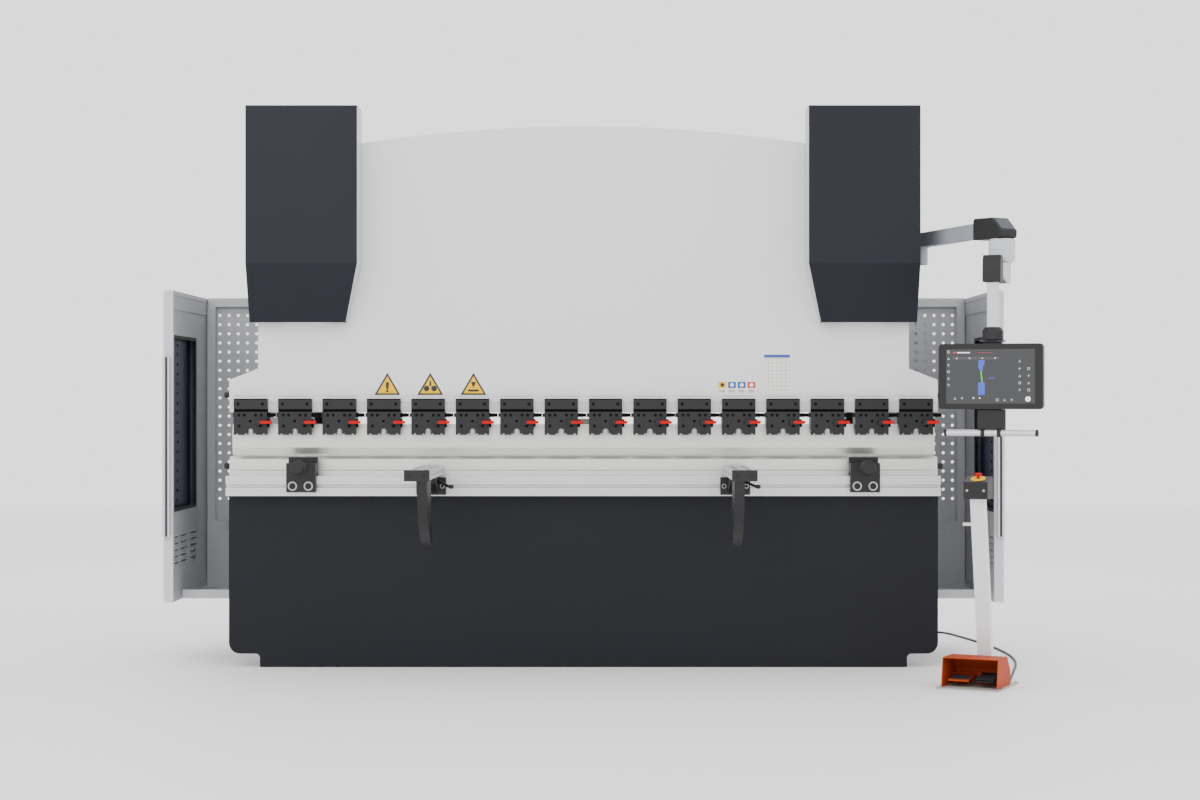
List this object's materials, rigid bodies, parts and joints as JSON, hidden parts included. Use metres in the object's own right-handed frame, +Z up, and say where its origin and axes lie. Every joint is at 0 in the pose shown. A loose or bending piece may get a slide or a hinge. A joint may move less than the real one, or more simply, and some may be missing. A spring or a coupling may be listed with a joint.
{
  "type": "press brake",
  "caption": "Hydraulic press brake: a ram presses a punch into a V-die to bend sheet metal, with side guards, front support arms, back gauge, swinging control console and foot pedal.",
  "frame": {"origin": "on the floor under the middle of the tool line, at the bed's underside", "axes": "+X along the bed to the console side, +Z up, the operator stands on the -Y side"},
  "size_m": [3.9296, 2.3603, 2.5149],
  "materials": {
    "navy_enamel": "satin navy stoved enamel",
    "white_enamel": "satin white stoved enamel",
    "grey_powder": "light grey fine-texture powder coat",
    "dark_powder": "dark grey powder coat",
    "ground_steel": "ground tool steel",
    "turned_steel": "turned steel",
    "hard_chrome": "hard chrome",
    "anodised": "satin anodised extrusion",
    "black_oxide": "black oxide steel",
    "red_plastic": "moulded red nylon",
    "black_plastic": "moulded black plastic",
    "window_tint": "tinted acrylic",
    "orange_enamel": "orange enamel",
    "stand_grey": "grey hammered paint",
    "cable_rubber": "black rubber sheath"
  },
  "bodies": {
    "machine": {"side_frame_left": "navy_enamel", "side_frame_right": "navy_enamel", "bed": "navy_enamel", "cross_ties": "navy_enamel", "oil_tank": "grey_powder", "tank_lid": "grey_powder", "pump_motor": "dark_powder", "valve_blocks": "turned_steel", "hydraulic_pipes": "turned_steel", "cylinder_barrels": "turned_steel", "cover_left": "navy_enamel", "cover_right": "navy_enamel", "ram_gibs": "turned_steel", "die_holder": "ground_steel", "die": "ground_steel", "arm_rail": "anodised", "guard_screen_left": "grey_powder", "guard_screen_right": "grey_powder", "guard_tray_left": "grey_powder", "guard_tray_right": "grey_powder", "electrical_cabinet": "grey_powder", "console_bracket": "grey_powder", "pedal_base": "stand_grey", "pedal_hood": "orange_enamel", "pedal_column": "white_enamel", "pedal_head": "black_plastic", "pedal_cable": "cable_rubber", "gauge_rails": "turned_steel"},
    "ram": {"ram": "white_enamel", "piston_rods": "hard_chrome", "clamp_blocks": "black_oxide", "clamp_plates": "black_oxide", "punch": "ground_steel", "end_knobs": "black_plastic"},
    "levers": {"clamp_levers": "red_plastic"},
    "guard_left": {"guard_door_left": "grey_powder", "window_left": "window_tint", "handle_left": "anodised"},
    "guard_right": {"guard_door_right": "grey_powder", "window_right": "window_tint", "handle_right": "anodised"},
    "arm_left": {"arm_profile_left": "anodised", "arm_bracket_left": "black_oxide"},
    "arm_right": {"arm_profile_right": "anodised", "arm_bracket_right": "black_oxide"},
    "stop_left": {"stop_left": "black_oxide"},
    "stop_right": {"stop_right": "black_oxide"},
    "knob_left": {"stop_knob_left": "black_plastic"},
    "knob_right": {"stop_knob_right": "black_plastic"},
    "boom": {"boom_arm": "grey_powder"},
    "swivel": {"swivel_head": "grey_powder"},
    "pendant": {"pendant_tube": "grey_powder", "monitor": "black_plastic", "monitor_handle": "anodised"},
    "cabinet_door": {"cabinet_door": "grey_powder"},
    "pedal_left": {"pedal_left": "orange_enamel"},
    "pedal_right": {"pedal_right": "navy_enamel"},
    "estop": {"estop_button": "red_plastic"},
    "gauge_beam": {"gauge_beam": "anodised"},
    "gauge_fingers": {"gauge_fingers": "black_oxide"}
  },
  "joints": [
    {"name": "ram_slide", "type": "slide", "parent": "machine", "child": "ram", "axis": [0, 0, 1], "range_m": [0, 0.2]},
    {"name": "lever_turn", "type": "hinge", "parent": "ram", "child": "levers", "pos_m": [0, -0.0875, 1.1069], "axis": [1, 0, 0], "range_deg": [0, 90]},
    {"name": "guard_swing_left", "type": "hinge", "parent": "machine", "child": "guard_left", "pos_m": [-1.915, 0.941, 1], "axis": [0, 0, -1], "range_deg": [0, 100]},
    {"name": "guard_swing_right", "type": "hinge", "parent": "machine", "child": "guard_right", "pos_m": [1.915, 0.941, 1], "axis": [0, 0, 1], "range_deg": [0, 100]},
    {"name": "arm_slide_left", "type": "slide", "parent": "machine", "child": "arm_left", "axis": [1, 0, 0], "range_m": [-0.15, 0.15]},
    {"name": "arm_slide_right", "type": "slide", "parent": "machine", "child": "arm_right", "axis": [1, 0, 0], "range_m": [-0.15, 0.15]},
    {"name": "stop_slide_left", "type": "slide", "parent": "machine", "child": "stop_left", "axis": [1, 0, 0], "range_m": [-0.2, 0.2]},
    {"name": "stop_slide_right", "type": "slide", "parent": "machine", "child": "stop_right", "axis": [1, 0, 0], "range_m": [-0.2, 0.2]},
    {"name": "knob_turn_left", "type": "hinge", "parent": "stop_left", "child": "knob_left", "pos_m": [-1.26, -0.2, 0.908], "axis": [0, -1, 0], "continuous": true},
    {"name": "knob_turn_right", "type": "hinge", "parent": "stop_right", "child": "knob_right", "pos_m": [1.26, -0.2, 0.908], "axis": [0, -1, 0], "continuous": true},
    {"name": "boom_swing", "type": "hinge", "parent": "machine", "child": "boom", "pos_m": [1.545, 0.11, 1.93], "axis": [0, 0, 1], "range_deg": [0, 45]},
    {"name": "elbow_swing", "type": "hinge", "parent": "boom", "child": "swivel", "pos_m": [1.785, -0.64, 1.84], "axis": [0, 0, 1], "range_deg": [-40, 60]},
    {"name": "monitor_swing", "type": "hinge", "parent": "swivel", "child": "pendant", "pos_m": [1.72, -0.8, 1.6], "axis": [0, 0, 1], "range_deg": [-60, 60]},
    {"name": "cabinet_door_swing", "type": "hinge", "parent": "machine", "child": "cabinet_door", "pos_m": [1.7065, 1.241, 1.06], "axis": [0, 0, -1], "range_deg": [0, 110]},
    {"name": "pedal_press_left", "type": "hinge", "parent": "machine", "child": "pedal_left", "pos_m": [1.63726, -0.65099, 0.046], "axis": [0.9063, -0.4226, 0], "range_deg": [0, 8], "stiffness_Nm_per_rad": 20, "springref_deg": -5.73},
    {"name": "pedal_press_right", "type": "hinge", "parent": "machine", "child": "pedal_right", "pos_m": [1.73514, -0.69663, 0.046], "axis": [0.9063, -0.4226, 0], "range_deg": [0, 8], "stiffness_Nm_per_rad": 20, "springref_deg": -5.73},
    {"name": "estop_press", "type": "slide", "parent": "machine", "child": "estop", "axis": [0, 0, -1], "range_m": [0, 0.004], "stiffness_N_per_m": 1500, "springref_m": -0.004},
    {"name": "gauge_depth", "type": "slide", "parent": "machine", "child": "gauge_beam", "axis": [0, 1, 0], "range_m": [-0.04, 0.2]},
    {"name": "gauge_height", "type": "slide", "parent": "gauge_beam", "child": "gauge_fingers", "axis": [0, 0, 1], "range_m": [0, 0.06]}
  ]
}
